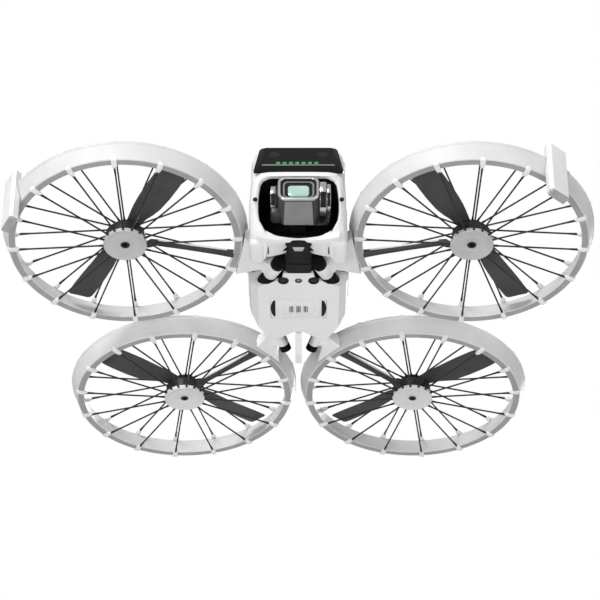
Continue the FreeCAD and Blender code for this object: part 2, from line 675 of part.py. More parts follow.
def belly_cover():
    """The shallow tray under the body, with a notch at the tail and openings for sensors."""
    body = new_body("belly_cover")
    outline = sketch_on(body, "XY_Plane", "<belly_low>")
    draw_polygon(outline, mirrored([
        ("7", "-31"), ("8", "-26.6"), ("13", "-24.2"), ("<body_half> - 0.7", "-19.5"),
        ("<body_half> - 0.7", "2"), ("13", "20.5"), ("2.2", "13.2")]))
    pad(body, outline, "<belly_seam> - <belly_low>")
    flanks = sketch_on(body, "XZ_Plane")
    for hand in ("", "-"):
        draw_polygon(flanks, [
            (hand + "<body_half>", "<belly_seam> - 1"),
            (hand + "(<body_half> - 1.6)", "<belly_low> + 4"),
            (hand + "(<body_half> - 5)", "<belly_low> - 0.01"), (hand + "31", "<belly_low> - 0.01"),
            (hand + "31", "<belly_seam> - 1")])
    cut(body, flanks)
    tray = sketch_on(body, "XY_Plane", "<belly_low> + 1.6")
    draw_polygon(tray, mirrored([
        ("12", "-23.5"), ("<body_half> - 5", "-17"), ("<body_half> - 5", "1"),
        ("11.5", "17"), ("3", "11")]))
    cut(body, tray, "20", reverse=True)
    nose = sketch_on(body, "XY_Plane", "<belly_low> + 1.6")
    draw_polygon(nose, mirrored([("20", "-40"), ("20", "-23.5")]))
    cut(body, nose, "20", reverse=True)
    vent = sketch_on(body, "XY_Plane", "<belly_low>")
    draw_polygon(vent, mirrored([("13.6", "-11.5"), ("13.6", "2.5")]))
    cut(body, vent, "1", reverse=True)
    sensors = sketch_on(body, "XY_Plane", "<belly_low>")
    for across, radius in (("-<eye_across>", "<eye_well>"), ("<eye_across>", "<eye_well>"),
                           ("0", "<range_well>")):
        draw_circle(sensors, across, "<sensor_y>", radius)
    cut(body, sensors, "<well_deep>", reverse=True)
    screws = sketch_on(body, "XY_Plane", "<belly_low>")
    for across, along in SCREWS:
        draw_circle(screws, across, along, "<screw_radius>")
    cut(body, screws, "<screw_deep>", reverse=True)
    to_body = Placement(Vector(0, dim("datum_y"), dim("datum_z")), Rotation()).inverse()
    for guard in GUARDS:
        gap = value(guard.size("knuckle_half")) + dim("ear_gap")
        ahead = gap + value(guard.size("ear_ahead")) + 0.3
        length = ahead + gap + value(guard.size("ear_behind")) + 0.3
        rod(body, guard.size("knuckle_radius") + " + 0.3", "%g" % length,
            to_body.multiply(guard.along_axis(-ahead)), remove=True)
    at_datum(body)


def vent_grille():
    """A ribbed grille let into the belly, with three groups of fine slots."""
    body = new_body("vent_grille")
    plate = sketch_on(body, "XY_Plane", "<belly_low>")
    draw_polygon(plate, mirrored([("13.5", "-11.4"), ("13.5", "2.4")]))
    pad(body, plate, "1")
    slots = sketch_on(body, "XY_Plane", "<belly_low>")
    for group in range(3):
        for row in range(3):
            left = -4.6 + 3.3 * group
            low = -5.6 + 1.6 * row
            draw_polygon(slots, rectangle(str(left), str(left + 2.6), str(low), str(low + 0.8)))
    for hand in ("", "-"):
        draw_polygon(slots, [(hand + "11.2", "-10.6"), (hand + "12.8", "-10.6"),
                             (hand + "12.8", "0.8"), (hand + "11.2", "0.8")])
    body.Tip = cut(body, slots, "3", reverse=True)
    at_datum(body)


def vision_lenses():
    """The pair of downward cameras on the belly."""
    body = new_body("vision_lenses")
    discs = sketch_on(body, "XY_Plane", "<belly_low>")
    for across in ("-<eye_across>", "<eye_across>"):
        draw_circle(discs, across, "<sensor_y>", "<eye_well> - 0.05")
    pad(body, discs, "<well_deep>")
    at_datum(body)


def range_sensor():
    """The small downward range finder between the belly cameras."""
    body = new_body("range_sensor")
    disc = sketch_on(body, "XY_Plane", "<belly_low>")
    draw_circle(disc, "0", "<sensor_y>", "<range_well> - 0.05")
    pad(body, disc, "<well_deep>")
    at_datum(body)


def belly_screws():
    """Four countersunk screws that hold the belly cover, level with its surface."""
    body = new_body("belly_screws")
    heads = sketch_on(body, "XY_Plane", "<belly_low>")
    for across, along in SCREWS:
        draw_circle(heads, across, along, "<screw_radius>")
    pad(body, heads, "<screw_deep>")
    at_datum(body)


def battery_pack():
    """The battery, whose back carries on the line of the shell; it slides out to the rear."""
    body = new_body("battery_pack")
    side = sketch_on(body, "YZ_Plane")
    draw_polygon(side, [
        ("<battery_front>", "<battery_floor>"), ("53", "<battery_floor>"), ("60", "30"),
        ("61", "36"), ("52", "<body_top> - 5"), ("26", "<body_top>"),
        ("<battery_front>", "<body_top>")])
    pad(body, side, "2 * <battery_half>", midplane=True)
    taper = sketch_on(body, "XY_Plane")
    for hand in ("", "-"):
        draw_polygon(taper, [(hand + "30", "52"), (hand + "30", "70"), (hand + "13", "70"),
                             (hand + "13", "61"), (hand + "15.5", "52")])
    body.Tip = cut(body, taper)
    latch = sketch_on(body, "YZ_Plane")
    draw_polygon(latch, rectangle("53", "58", "31", "36"))
    cut(body, latch)
    solid = sketch_on(body, "YZ_Plane")
    draw_polygon(solid, rectangle("53", "58", "31", "36"))
    pad(body, solid, "22", midplane=True)
    at_datum(body)


def battery_latch(side):
    """A squeeze button on the side of the battery's tail."""
    name = "right" if side > 0 else "left"
    body = new_body("battery_latch_" + name)
    face = sketch_on(body, "YZ_Plane", "%d * 11.6" % side)
    draw_polygon(face, rectangle("53.3", "57.7", "31.3", "35.7"))
    pad(body, face, "1.9", reverse=side < 0)
    at_datum(body)


def power_button():
    """The round button on top of the shell, just ahead of the battery."""
    body = new_body("power_button")
    disc = sketch_on(body, "XY_Plane", "<body_top> - 1.4")
    draw_circle(disc, "0", "-26", "4")
    pad(body, disc, "2")
    at_datum(body)


def port_cover():
    """The hinged flap over the charging socket and card slot, on the left flank."""
    body = new_body("port_cover")
    face = sketch_on(body, "YZ_Plane", "-<body_half> - 0.1")
    draw_polygon(face, rectangle("-18", "-3", "12", "19"))
    pad(body, face, "1", reverse=True)
    at_datum(body)


def gimbal_bracket():
    """The damped plate under the recess roof, with the yaw motor's fixed half."""
    body = new_body("gimbal_bracket")
    plate = sketch_on(body, "XY_Plane", "15.3")
    draw_polygon(plate, mirrored([("11", "<yaw_y> - 7"), ("11", "<yaw_y> + 3.8")]))
    pad(body, plate, "1.2")
    motor = sketch_on(body, "XY_Plane", "12.9")
    draw_circle(motor, "0", "<yaw_y>", "3.6")
    pad(body, motor, "3")
    at_datum(body)


def gimbal_yaw_arm():
    """Turns about the upright axis and carries the roll motor behind the camera."""
    body = new_body("gimbal_yaw_arm")
    top = sketch_on(body, "XY_Plane", "11.6")
    draw_polygon(top, mirrored([("3.4", "<yaw_y> - 2.4"), ("3.4", "<yaw_y> + 3.4")]))
    pad(body, top, "1")
    back = sketch_on(body, "XZ_Plane", "-(<yaw_y> + 2.2)")
    draw_polygon(back, mirrored([("3.4", "0"), ("3.4", "12")]))
    pad(body, back, "1.2", reverse=True)
    motor = sketch_on(body, "XZ_Plane", "-(<yaw_y> + 2.3)")
    draw_circle(motor, "0", "<pitch_z>", "5.4")
    pad(body, motor, "3")
    at_datum(body)


def gimbal_roll_arm():
    """Turns about the fore-and-aft axis and reaches round to the pitch motor."""
    body = new_body("gimbal_roll_arm")
    plate = sketch_on(body, "XZ_Plane", "-(<yaw_y> - 1.1)")
    draw_polygon(plate, [("-5", "<pitch_z> - 5"), ("14.4", "<pitch_z> - 5"),
                         ("14.4", "<pitch_z> + 5"), ("-5", "<pitch_z> + 5")])
    pad(body, plate, "1.4")
    side = sketch_on(body, "YZ_Plane", "13.2")
    draw_polygon(side, [("<yaw_y> - 1.1", "<pitch_z> - 5"), ("<yaw_y> - 1.1", "<pitch_z> + 5"),
                        ("<pitch_y> + 1", "<pitch_z> + 4.4"),
                        ("<pitch_y> - 3.4", "<pitch_z> + 3"),
                        ("<pitch_y> - 3.4", "<pitch_z> - 3"),
                        ("<pitch_y> + 1", "<pitch_z> - 4.4")])
    pad(body, side, "1.2")
    at_datum(body)


def camera_body():
    """The camera block, with the pitch motor's turning half on its right-hand cheek."""
    body = new_body("camera_body")
    side = sketch_on(body, "YZ_Plane")
    low = "<pitch_z> - <camera_tall> / 2"
    high = "<pitch_z> + <camera_tall> / 2"
    front = "<pitch_y> - <camera_front>"
    back = "<pitch_y> + <camera_back>"
    draw_polygon(side, [
        (front + " + 1.2", low), (back + " - 3.4", low), (back, low + " + 3.4"),
        (back, high + " - 3.4"), (back + " - 3.4", high), (front + " + 1.2", high),
        (front, high + " - 1.2"), (front, low + " + 1.2")])
    pad(body, side, "2 * <camera_half>", midplane=True)
    mouth = sketch_on(body, "XZ_Plane", "-(%s)" % front)
    draw_polygon(mouth, mirrored([("7.4", low + " + 2.4"), ("7.4", high + " - 2.4")]))
    cut(body, mouth, "2", reverse=False)
    motor = sketch_on(body, "YZ_Plane", "<camera_half>")
    draw_circle(motor, "<pitch_y>", "<pitch_z>", "6.4")
    pad(body, motor, "3.2")
    at_datum(body)


def lens_bezel():
    """The stepped dark frame around the lens glass."""
    body = new_body("lens_bezel")
    front = "-(<pitch_y> - <camera_front> + 2)"
    low = "<pitch_z> - <camera_tall> / 2 + 2.4"
    high = "<pitch_z> + <camera_tall> / 2 - 2.4"
    frame = sketch_on(body, "XZ_Plane", front)
    draw_polygon(frame, mirrored([("7.4", low), ("7.4", high)]))
    draw_circle(frame, "0", "<pitch_z>", "4.2")
    pad(body, frame, "1.4")
    at_datum(body)


def lens_glass():
    """The round front element."""
    body = new_body("lens_glass")
    disc = sketch_on(body, "XZ_Plane", "-(<pitch_y> - <camera_front> + 2)")
    draw_circle(disc, "0", "<pitch_z>", "4.2")
    pad(body, disc, "0.9")
    at_datum(body)


def check_and_write():
    """Stop on any failed feature or bad shape, then write every sub-part to its file."""
    doc.recompute()
    for item in doc.Objects:
        states = set(item.State) & {"Invalid", "Error"}
        if states:
            raise RuntimeError("%s is %s" % (item.Name, states))
    for body in SUBPARTS:
        shape = body.Shape
        if shape.isNull() or not shape.isValid() or shape.Volume <= 0:
            raise RuntimeError("%s has no sound shape" % body.Label)
    os.makedirs("parts", exist_ok=True)
    for body in SUBPARTS:
        body.Shape.exportStep("parts/%s.step" % body.Label)
        print("%-26s %10.1f mm3" % (body.Label, body.Shape.Volume))


for each in GUARDS:
    guard_ring(each)
    guard_strings(each)
    hub_frame(each)
    motor_stator(each)
    motor_bell(each)
    propeller(each)
    motor_arm(each)
    hinge_arm(each)
    if each.end == "front":
        landing_leg(each)
chassis()
hinge_pins()
tail_skid()
upper_shell()
nose_shell()
sensor_window()
indicator_marks()
belly_cover()
vent_grille()
vision_lenses()
range_sensor()
belly_screws()
battery_pack()
battery_latch(1)
battery_latch(-1)
power_button()
port_cover()
gimbal_bracket()
gimbal_yaw_arm()
gimbal_roll_arm()
camera_body()
lens_bezel()
lens_glass()
for each in GUARDS:
    print("%s fold: pivot (%.3f, %.3f, %.3f) axis (%.5f, %.5f, %.5f) angle %.3f" % (
        (each.name,) + tuple(each.knuckle) + tuple(each.axis) + (math.degrees(each.angle),)))
check_and_write()
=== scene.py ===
"""Looks of the folding camera drone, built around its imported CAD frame. Lengths here are in
millimetres until a piece is placed. +X is to the right of someone who faces the nose, which
points to -Y."""
import json
import math

import bmesh
import bpy
from mathutils import Matrix, Vector


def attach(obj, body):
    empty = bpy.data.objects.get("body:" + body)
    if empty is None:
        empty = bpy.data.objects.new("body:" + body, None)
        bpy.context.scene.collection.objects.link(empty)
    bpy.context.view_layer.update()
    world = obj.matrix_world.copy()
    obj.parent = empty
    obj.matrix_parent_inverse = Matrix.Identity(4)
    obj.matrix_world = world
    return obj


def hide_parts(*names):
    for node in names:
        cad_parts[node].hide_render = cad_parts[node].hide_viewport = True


MM = 0.001
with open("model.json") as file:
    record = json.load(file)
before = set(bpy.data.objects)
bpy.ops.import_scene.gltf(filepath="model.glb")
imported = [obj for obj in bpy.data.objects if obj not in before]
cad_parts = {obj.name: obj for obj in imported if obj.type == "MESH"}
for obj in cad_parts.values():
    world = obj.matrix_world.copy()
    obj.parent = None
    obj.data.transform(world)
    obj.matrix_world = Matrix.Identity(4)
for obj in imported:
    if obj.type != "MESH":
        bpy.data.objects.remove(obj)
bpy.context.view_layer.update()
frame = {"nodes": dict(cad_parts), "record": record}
NODES = frame["nodes"]
JOINTS = {j["name"]: j for j in frame["record"]["behaviour"]["joints"]}
DATUM = Vector((0, -15.45, 20.7))       # on the centre line, level with the guard hinges
GUARD_NAMES = ("front_right", "front_left", "rear_right", "rear_left")


# ---------------------------------------------------------------- camera, light and floor

CAMERA_SPOT = (0, -0.77303, -0.61517)   # metres: in front of the nose, looking up at the belly
SENSOR, LENS = 36, 121.1
SHIFT = (0.0025, -0.0067)
CLIP = (0.05, 60)
FLOOR_HALF, FLOOR_LEVEL = 30.0, -0.95   # metres: the floor lies below the camera
WORLD_LIGHT = 0.52                      # of the white that the camera sees
AIM = (0, 0, 0.02)
# name, place in metres, diameter in metres, watts
LIGHTS = (
    ("key", (-0.8, -1.7, 0.9), 0.9, 30),
    ("fill", (1.5, -1.0, -0.5), 1.2, 5),
    ("low", (-0.4, -0.9, -1.0), 0.8, 17),
    ("rim", (0.6, 1.6, 1.2), 0.9, 20),
)


def look_at(spot, target):
    """A matrix at spot whose -Z looks at target, with Y as near upright as it can be."""
    spot, target = Vector(spot), Vector(target)
    turn = (target - spot).to_track_quat("-Z", "Y").to_matrix().to_4x4()
    return Matrix.Translation(spot) @ turn


def studio():
    """The camera at the photograph's angle, a white world, soft lamps and a pale floor."""
    camera_data = bpy.data.cameras.new("camera")
    camera_data.sensor_width = SENSOR
    camera_data.lens = LENS
    camera_data.shift_x, camera_data.shift_y = SHIFT
    camera_data.clip_start, camera_data.clip_end = CLIP
    camera = bpy.data.objects.new("camera", camera_data)
    camera.matrix_world = look_at(CAMERA_SPOT, DATUM * MM)
    scene = bpy.context.scene
    scene.collection.objects.link(camera)
    scene.camera = camera
    scene.view_settings.view_transform = "Standard"

    world = bpy.data.worlds.new("studio")
    world.use_nodes = True
    scene.world = world
    nodes, links = world.node_tree.nodes, world.node_tree.links
    background = nodes["Background"]
    background.inputs["Color"].default_value = (1, 1, 1, 1)
    ray = nodes.new("ShaderNodeLightPath")
    strength = nodes.new("ShaderNodeMapRange")
    strength.inputs["To Min"].default_value = WORLD_LIGHT
    strength.inputs["To Max"].default_value = 1.0
    links.new(ray.outputs["Is Camera Ray"], strength.inputs["Value"])
    links.new(strength.outputs["Result"], background.inputs["Strength"])

    for name, spot, size, power in LIGHTS:
        data = bpy.data.lights.new(name, "AREA")
        data.shape = "DISK"
        data.size = size
        data.energy = power
        lamp = bpy.data.objects.new(name, data)
        lamp.matrix_world = look_at(spot, AIM)
        lamp.visible_camera = False
        scene.collection.objects.link(lamp)

    mesh = bpy.data.meshes.new("floor")
    half = FLOOR_HALF
    corners = ((-half, -half), (half, -half), (half, half), (-half, half))
    mesh.from_pydata([(x, y, FLOOR_LEVEL) for x, y in corners], [], [(0, 1, 2, 3)])
    floor = bpy.data.objects.new("floor", mesh)
    floor.data.materials.append(MATERIALS["floor"])
    scene.collection.objects.link(floor)


# ---------------------------------------------------------------- materials

MATERIALS = {}


NOISE_DETAIL, GRAIN_DETAIL = 4.0, 2.0
TONE_START, TONE_END = 0.3, 0.7         # of the noise, where the two tones begin and end
COAT_ROUGHNESS = 0.06
GRAIN_DEPTH = 0.0002                    # metres
WAVE_DISTORTION = 1.5


def mixed_material(name, first, second, scale, rough, bump_scale, bump, metallic=0.0,
                   coat=0.0, specular=0.5, wave=None):
    """A surface whose colour wanders between two tones, with its own grain and gloss."""
    made = bpy.data.materials.new(name)
    made.use_nodes = True
    nodes, links = made.node_tree.nodes, made.node_tree.links
    shader = nodes["Principled BSDF"]
    shader.inputs["Metallic"].default_value = metallic
    shader.inputs["Coat Weight"].default_value = coat
    shader.inputs["Coat Roughness"].default_value = COAT_ROUGHNESS
    shader.inputs["Specular IOR Level"].default_value = specular
    place = nodes.new("ShaderNodeTexCoord")
    cloud = nodes.new("ShaderNodeTexNoise")
    cloud.inputs["Scale"].default_value = scale
    cloud.inputs["Detail"].default_value = NOISE_DETAIL
    links.new(place.outputs["Object"], cloud.inputs["Vector"])
    ramp = nodes.new("ShaderNodeValToRGB")
    for stop, spot, tone in zip(ramp.color_ramp.elements, (TONE_START, TONE_END),
                                (first, second)):
        stop.position = spot
        stop.color = (*tone, 1)
    links.new(cloud.outputs["Fac"], ramp.inputs["Fac"])
    links.new(ramp.outputs["Color"], shader.inputs["Base Color"])
    gloss = nodes.new("ShaderNodeMapRange")
    gloss.inputs["To Min"].default_value = rough[0]
    gloss.inputs["To Max"].default_value = rough[1]
    links.new(cloud.outputs["Fac"], gloss.inputs["Value"])
    links.new(gloss.outputs["Result"], shader.inputs["Roughness"])
    if wave:
        grain = nodes.new("ShaderNodeTexWave")
        grain.inputs["Scale"].default_value = wave
        grain.inputs["Distortion"].default_value = WAVE_DISTORTION
        grain.bands_direction = "DIAGONAL"
    else:
        grain = nodes.new("ShaderNodeTexNoise")
        grain.inputs["Scale"].default_value = bump_scale
        grain.inputs["Detail"].default_value = GRAIN_DETAIL
    links.new(place.outputs["Object"], grain.inputs["Vector"])
    relief = nodes.new("ShaderNodeBump")
    relief.inputs["Strength"].default_value = bump
    relief.inputs["Distance"].default_value = GRAIN_DEPTH
    links.new(grain.outputs["Fac"], relief.inputs["Height"])
    links.new(relief.outputs["Normal"], shader.inputs["Normal"])
    MATERIALS[name] = made


def grey(level):
    """A neutral tone with a trace of blue."""
    return (level, level, level * 1.005)


mixed_material("floor", grey(0.80), grey(0.84), 3, (0.6, 0.8), 40, 0.02)
mixed_material("shell_plastic", grey(0.67), grey(0.71), 60, (0.42, 0.52), 2600, 0.16)
mixed_material("guard_plastic", grey(0.56), grey(0.61), 90, (0.40, 0.52), 2600, 0.18)
mixed_material("clip_plastic", grey(0.68), grey(0.74), 90, (0.42, 0.52), 2600, 0.12)
mixed_material("carbon_rod", grey(0.012), grey(0.022), 300, (0.28, 0.42), 3000, 0.25,
               wave=900, specular=0.22)
mixed_material("hub_plastic", grey(0.40), grey(0.45), 120, (0.38, 0.5), 2600, 0.18)
mixed_material("hub_plastic_pale", grey(0.58), grey(0.62), 120, (0.38, 0.5), 2600, 0.18)
mixed_material("copper_winding", (0.30, 0.10, 0.03), (0.45, 0.17, 0.06), 900, (0.3, 0.45), 4000,
               0.5, metallic=0.8, wave=2500)
mixed_material("motor_black", grey(0.016), grey(0.026), 200, (0.30, 0.42), 2400, 0.12,
               specular=0.22)
mixed_material("blade_plastic", grey(0.040), grey(0.055), 80, (0.34, 0.46), 1800, 0.10,
               specular=0.22)
mixed_material("arm_dark", grey(0.030), grey(0.045), 120, (0.4, 0.52), 2400, 0.15,
               specular=0.22)
mixed_material("steel", grey(0.42), grey(0.52), 300, (0.22, 0.34), 3000, 0.1, metallic=1.0)
mixed_material("window_gloss", grey(0.004), grey(0.007), 30, (0.14, 0.22), 500, 0.01,
               specular=0.10)
mixed_material("status_mark", (0.03, 0.22, 0.07), (0.05, 0.32, 0.11), 900, (0.35, 0.45), 3000,
               0.1)
mixed_material("sensor_glass", (0.003, 0.003, 0.005), (0.006, 0.006, 0.009), 500, (0.04, 0.08),
               800, 0.01, specular=0.3)
mixed_material("dark_plastic", grey(0.008), grey(0.014), 120, (0.40, 0.52), 2400, 0.18,
               specular=0.12)
mixed_material("cavity_black", grey(0.004), grey(0.007), 120, (0.5, 0.62), 2400, 0.18,
               specular=0.06)
mixed_material("camera_grey", grey(0.16), grey(0.20), 100, (0.34, 0.44), 2400, 0.12)
mixed_material("camera_dark", grey(0.030), grey(0.042), 100, (0.30, 0.40), 2400, 0.12,
               specular=0.25)
# painted shade: a darker grey laid on the hoops' flat underside
mixed_material("ring_underside_painted_shade", grey(0.26), grey(0.31), 90, (0.45, 0.55), 2600, 0.18)
mixed_material("silver_ring", grey(0.50), grey(0.58), 200, (0.20, 0.30), 1800, 0.10,
               metallic=0.9)
mixed_material("lens_coating", (0.30, 0.48, 0.42), (0.42, 0.60, 0.52), 120, (0.03, 0.06), 400,
               0.01, coat=1.0)
mixed_material("foot_rubber", grey(0.28), grey(0.34), 300, (0.6, 0.75), 2600, 0.3)
mixed_material("battery_plastic", grey(0.54), grey(0.58), 60, (0.42, 0.52), 2600, 0.16)


# ---------------------------------------------------------------- mesh making

def polar(radius, angle, z=0.0):
    """A point at a radius and an angle about the Z axis."""
    return Vector((radius * math.cos(angle), radius * math.sin(angle), z))


class Shape:
    """A mesh under construction in a local frame, in millimetres."""

    def __init__(self):
        self.bm = bmesh.new()

    def skin(self, loops, paint=0, caps=True, ring=False):
        """Join loops of points, each with the same count, into a skin."""
        rows = [[self.bm.verts.new(p) for p in loop] for loop in loops]
        count = len(rows[0])
        faces = []
        pairs = list(zip(rows, rows[1:]))
        if ring:
            pairs.append((rows[-1], rows[0]))
        for low, high in pairs:
            for k in range(count):
                n = (k + 1) % count
                faces.append(self.bm.faces.new((low[k], low[n], high[n], high[k])))
        if caps and not ring:
            faces.append(self.bm.faces.new(list(reversed(rows[0]))))
            faces.append(self.bm.faces.new(rows[-1]))
        for face in faces:
            face.material_index = paint
        return faces

    def revolve(self, profile, steps=96, paint=0, centre=(0, 0, 0)):
        """Turn a closed profile of (radius, height) points about the Z axis."""
        loops = []
        for s in range(steps):
            a = 2 * math.pi * s / steps
            loops.append([polar(r, a, z) + Vector(centre) for r, z in profile])
        self.skin(loops, paint, ring=True)

    def prism(self, outline, low, high, paint=0, frame3=None, spot=(0, 0, 0), round_by=0.0,
              segments=2):
        """An outline of (x, y) points between two heights, with its edges rounded."""
        frame3 = frame3 or Matrix.Identity(3)
        faces = self.skin([[frame3 @ Vector((x, y, z)) + Vector(spot) for x, y in outline]
                           for z in (low, high)], paint)
        if round_by:
            edges = list({e for f in faces for e in f.edges})
            bmesh.ops.bevel(self.bm, geom=edges, offset=round_by, segments=segments,
                            profile=0.5, affect="EDGES", material=-1, clamp_overlap=True)

    def box(self, centre, size, paint=0, frame3=None, round_by=0.0, segments=2):
        """A block with rounded edges about its centre."""
        x, y, z = (s / 2 for s in size)
        self.prism([(-x, -y), (x, -y), (x, y), (-x, y)], -z, z, paint, frame3, centre, round_by,
                   segments)

    def disc(self, centre, radius, low, high, paint=0, steps=40, edge=0.2, frame3=None):
        """A round button with an eased upper and lower edge."""
        edge = min(edge, (high - low) / 2.01)
        frame3 = frame3 or Matrix.Identity(3)
        loops = []
        for r, z in ((radius - edge, low), (radius - edge * 0.3, low + edge * 0.3),
                     (radius, low + edge), (radius, high - edge),
                     (radius - edge * 0.3, high - edge * 0.3), (radius - edge, high)):
            loops.append([frame3 @ polar(r, 2 * math.pi * s / steps, z) + Vector(centre)
                          for s in range(steps)])
        self.skin(loops, paint)

    def tube(self, points, radii, sides=8, paint=0):
        """A round bar through points, with a radius at each."""
        loops = []
        for k, p in enumerate(points):
            p = Vector(p)
            before = Vector(points[max(0, k - 1)])
            after = Vector(points[min(len(points) - 1, k + 1)])
            along = (after - before).normalized()
            side = along.cross(Vector((0, 0, 1)) if abs(along.z) < 0.9 else Vector((1, 0, 0)))
            side.normalize()
            up = side.cross(along)
            loops.append([p + side * (radii[k] * math.cos(2 * math.pi * s / sides))
                          + up * (radii[k] * math.sin(2 * math.pi * s / sides))
                          for s in range(sides)])
        self.skin(loops, paint)

    def done(self, name, paints, body, matrix=None, replaces=(), crisp=32):
        """Finish the mesh: place it, name it, and hang it on its body."""
        bm = self.bm
        bmesh.ops.recalc_face_normals(bm, faces=bm.faces)
        for f in bm.faces:
            f.smooth = True
        for e in bm.edges:
            e.smooth = not (len(e.link_faces) == 2
                            and e.calc_face_angle(0) > math.radians(crisp))
        mesh = bpy.data.meshes.new(name)
        bm.to_mesh(mesh)
        bm.free()
        mesh.transform(Matrix.Scale(MM, 4) @ (matrix or Matrix.Identity(4)))
        for paint in paints:
            mesh.materials.append(MATERIALS[paint])
        made = bpy.data.objects.new(name, mesh)
        bpy.context.scene.collection.objects.link(made)
        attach(made, body)
        if replaces:
            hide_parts(*replaces)


WELD_REACH = 0.000004                   # metres
SOFT_ANGLE = math.radians(38)


def dress(node, paint, ease=0.25):
    """Give a kept CAD node its finish, and soften its moulded edges."""
    item = NODES[node]
    item.data.materials.clear()
    item.data.materials.append(MATERIALS[paint])
    for polygon in item.data.polygons:
        polygon.material_index = 0
    weld = item.modifiers.new("weld", "WELD")
    weld.merge_threshold = WELD_REACH
    if ease:
        bevel = item.modifiers.new("ease", "BEVEL")
        bevel.width = ease * MM
        bevel.segments = 2
        bevel.limit_method = "ANGLE"
        bevel.angle_limit = SOFT_ANGLE
        bevel.harden_normals = True


# ---------------------------------------------------------------- one guard and its motor

CLIPS = 16
PHASE = {"front": 1.8, "rear": 14.6}


def guard_matrix(name):
    """The guard's frame, from the place and axis of its propeller's joint, in millimetres."""
    joint = JOINTS["propeller_spin_" + name]
    turn = Vector((0, 0, 1)).rotation_difference(Vector(joint["axis"]))
    return Matrix.Translation(Vector(joint["pos_m"]) / MM) @ turn.to_matrix().to_4x4()


def clip_angles(name):
    """The angle of each string's end; the left guards mirror the right ones."""
    side = 1 if name.endswith("right") else -1
    first = side * math.radians(PHASE[name.split("_")[0]])
    return [first + 2 * math.pi * k / CLIPS for k in range(CLIPS)]


def make_ring(name):
    """The flared hoop, with a parting groove under its lip and painted shade on its flat
    underside.
    """
    shape = Shape()
    shape.revolve([(51.55, 0.25), (51.8, 0.02), (54.7, 0.0), (55.15, 0.3), (57.55, 7.4),
                   (57.42, 7.62), (57.62, 7.9), (57.95, 8.2), (58.08, 8.75), (57.75, 9.3),
                   (57.2, 9.42), (54.6, 9.42), (54.0, 9.15), (53.5, 8.55)], 160)
    # painted shade: the faces of the flat underside take the darker grey
    for face in shape.bm.faces:
        if max(v.co.z for v in face.verts) < 0.1:
            face.material_index = 1
    shape.done("ring_" + name, ["guard_plastic", "ring_underside_painted_shade"], "guard_" + name, guard_matrix(name),
               ["guard_ring_" + name], crisp=28)


def make_clips(name):
    """Small saddles that wrap the lower and upper rim where each string ends."""
    shape = Shape()
    for angle in clip_angles(name):
        turn = Matrix.Rotation(angle, 3, "Z")
        for rows in (
                ((49.9, -0.85, 0.05, 0.6), (51.2, -0.95, 0.5, 1.15), (53.6, -0.95, 0.5, 1.3),
                 (55.3, -0.6, 0.7, 1.3), (55.75, 0.3, 1.2, 0.9)),
                ((50.3, 9.4, 10.25, 0.6), (52.4, 8.7, 10.3, 1.15), (54.4, 9.2, 10.3, 1.3),
                 (57.3, 8.9, 10.1, 1.3), (58.2, 8.4, 9.4, 0.9))):
            loops = [[turn @ Vector((r, y, z)) for y, z in (
                (-half, low + 0.25), (-half + 0.3, low), (half - 0.3, low), (half, low + 0.25),
                (half, high - 0.25), (half - 0.3, high), (-half + 0.3, high),
                (-half, high - 0.25))] for r, low, high, half in rows]
            shape.skin(loops)
    shape.done("clips_" + name, ["clip_plastic"], "guard_" + name, guard_matrix(name), (),
               crisp=50)


def make_strings(name):
    """Black rods in two layers, each with a ferrule at the rim and a root at the hub."""
    shape = Shape()
    for angle in clip_angles(name):
        for start, height in ((9.6, -0.4), (5.6, 9.8)):
            reach = (start, start + 2.2, start + 3.4, 45.5, 47.6, 50.6)
            thick = (0.6, 0.55, 0.42, 0.42, 0.52, 0.62)
            shape.tube([polar(r, angle, height) for r in reach], thick, 8)
    shape.done("strings_" + name, ["carbon_rod"], "guard_" + name, guard_matrix(name),
               ["guard_strings_" + name], crisp=60)


def make_hub(name):
    """The dished cap under the motor, the hollow post, and the top plate with its screws."""
    shape = Shape()
    front = name.startswith("front")
    shape.revolve([(1.9, -0.55), (2.2, -0.72), (6.6, -0.72), (8.3, -0.78), (8.75, -1.0),
                   (9.15, -1.18), (9.9, -1.18), (10.25, -0.85), (10.3, 0.55), (10.1, 0.8),
                   (1.8, 0.8), (1.8, -0.3)], 96)
    bore = 1.35 if front else 0.95
    shape.revolve([(bore, -0.85), (bore + 0.75, -0.85), (bore + 1.0, -0.6), (1.8, 0.9),
                   (1.8, 9.35), (6.0, 9.35), (6.2, 9.55), (6.2, 10.2), (5.95, 10.4), (2.6, 10.4),
                   (2.3, 10.2), (bore, 10.2)], 64, paint=1)
    for angle in clip_angles(name):
        shape.box(polar(9.35, angle, -0.45), (1.7, 1.7, 1.1), 0, Matrix.Rotation(angle, 3, "Z"),
                  0.25)
    for k in range(3):
        spot = polar(4.2, math.radians(30 + 120 * k), 0)
        shape.disc(spot, 0.8, 10.25, 10.55, 2, 16, 0.1)
    shape.done("hub_" + name, ["hub_plastic" if front else "hub_plastic_pale", "motor_black",
                               "steel"], "guard_" + name, guard_matrix(name),
               ["hub_frame_" + name], crisp=40)


def make_stator(name):
    """Laminated teeth with a copper winding on each."""
    shape = Shape()
    shape.revolve([(1.85, 0.85), (3.6, 0.85), (3.6, 4.9), (1.85, 4.9)], 36)
    for k in range(12):
        angle = math.radians(30 * k)
        turn = Matrix.Rotation(angle, 3, "Z")
        shape.box(polar(5.2, angle, 2.9), (3.6, 0.9, 3.4), 0, turn, 0.1, 1)
        shape.box(polar(7.15, angle, 2.9), (0.8, 3.0, 3.8), 0, turn, 0.15, 1)
        shape.box(polar(5.3, angle, 2.9), (2.5, 2.0, 4.0), 1, turn, 0.45, 3)
    shape.done("stator_" + name, ["motor_black", "copper_winding"], "guard_" + name,
               guard_matrix(name), ["motor_stator_" + name], crisp=50)


